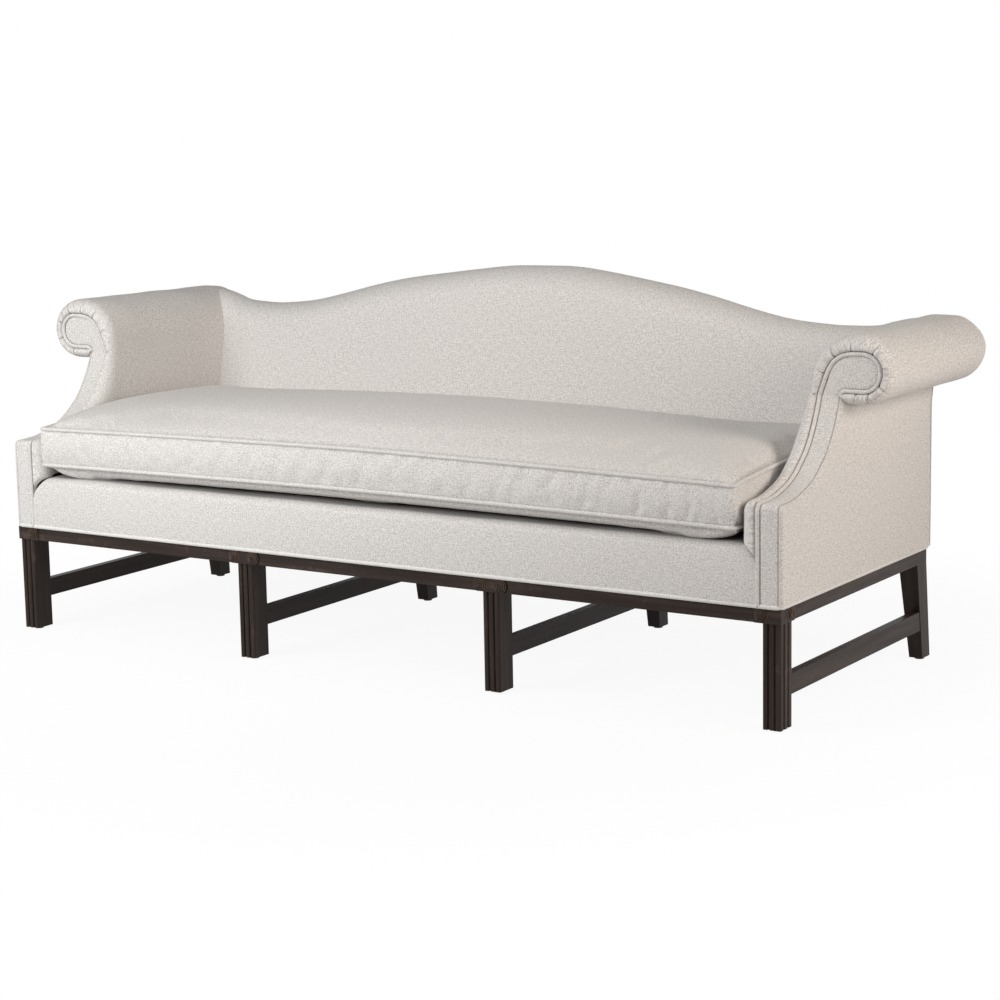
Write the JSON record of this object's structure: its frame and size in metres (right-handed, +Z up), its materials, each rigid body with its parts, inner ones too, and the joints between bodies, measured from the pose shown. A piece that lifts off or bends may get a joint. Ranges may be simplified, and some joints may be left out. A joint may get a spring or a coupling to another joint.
{
  "type": "camelback sofa",
  "caption": "Camelback sofa with out-scrolled arms, a loose bench cushion and a dark reeded-leg wooden base with stretchers and carved corner volutes.",
  "frame": {"origin": "on the floor under the middle of the sofa's box", "axes": "+X along the sofa to the sitter's left, +Y to the back, +Z up"},
  "size_m": [2.352, 0.8471, 0.881],
  "materials": {
    "show_wood": "dark stained and hand rubbed",
    "glide_plastic": "matt",
    "dowel_wood": "plain beech",
    "steel": "zinc plated",
    "frame_wood": "unfinished hardwood",
    "jute_webbing": "woven jute",
    "deck_cloth": "plain cotton deck cloth over felt",
    "dust_cloth": "thin non-woven cloth",
    "cover_fabric": "slubbed linen weave",
    "cord_fabric": "cord covered in the same linen",
    "padding": "felted cotton",
    "cushion_fill": "foam wrapped in down ticking",
    "zipper_tape": "woven zipper tape"
  },
  "bodies": {
    "frame": {"front_leg_corner_right": "show_wood", "front_leg_corner_left": "show_wood", "front_leg_middle_right": "show_wood", "front_leg_middle_left": "show_wood", "rear_leg_corner_right": "show_wood", "rear_leg_corner_left": "show_wood", "rear_leg_middle_right": "show_wood", "rear_leg_middle_left": "show_wood", "side_stretcher_corner_right": "show_wood", "side_stretcher_corner_left": "show_wood", "side_stretcher_middle_right": "show_wood", "side_stretcher_middle_left": "show_wood", "front_apron": "show_wood", "rear_apron": "show_wood", "side_apron_right": "show_wood", "side_apron_left": "show_wood", "carved_brackets": "show_wood", "foot_glides": "glide_plastic", "apron_dowels": "dowel_wood", "frame_screws": "steel", "front_seat_rail": "frame_wood", "rear_seat_rail": "frame_wood", "side_seat_rail_right": "frame_wood", "side_seat_rail_left": "frame_wood", "seat_braces": "frame_wood", "corner_blocks": "frame_wood", "arm_post_right": "frame_wood", "arm_post_left": "frame_wood", "scroll_board_right": "frame_wood", "scroll_board_left": "frame_wood", "arm_top_rails": "frame_wood", "arm_tack_rails": "frame_wood", "back_post_right": "frame_wood", "back_post_left": "frame_wood", "crest_rail": "frame_wood", "lower_back_rail": "frame_wood", "back_uprights": "frame_wood", "seat_webbing": "jute_webbing", "back_webbing": "jute_webbing", "deck_pad": "deck_cloth", "dust_cover": "dust_cloth", "front_border": "cover_fabric", "inside_arm_pad_right": "cover_fabric", "inside_arm_pad_left": "cover_fabric", "arm_roll_pad_right": "cover_fabric", "arm_roll_pad_left": "cover_fabric", "arm_facing_right": "cover_fabric", "arm_facing_left": "cover_fabric", "outer_arm_panel_right": "cover_fabric", "outer_arm_panel_left": "cover_fabric", "inside_back_pad": "cover_fabric", "outer_back_panel": "cover_fabric", "arm_front_welt_right": "cord_fabric", "arm_front_welt_left": "cord_fabric", "base_welt": "cord_fabric", "arm_roll_cores": "padding"},
    "seat_cushion": {"cushion_cover": "cover_fabric", "cushion_core": "cushion_fill", "cushion_welts": "cord_fabric", "cushion_zipper": "zipper_tape"}
  },
  "joints": [
    {"name": "seat_cushion_lift", "type": "slide", "parent": "frame", "child": "seat_cushion", "axis": [0, 0, 1], "range_m": [0, 0.5]}
  ]
}
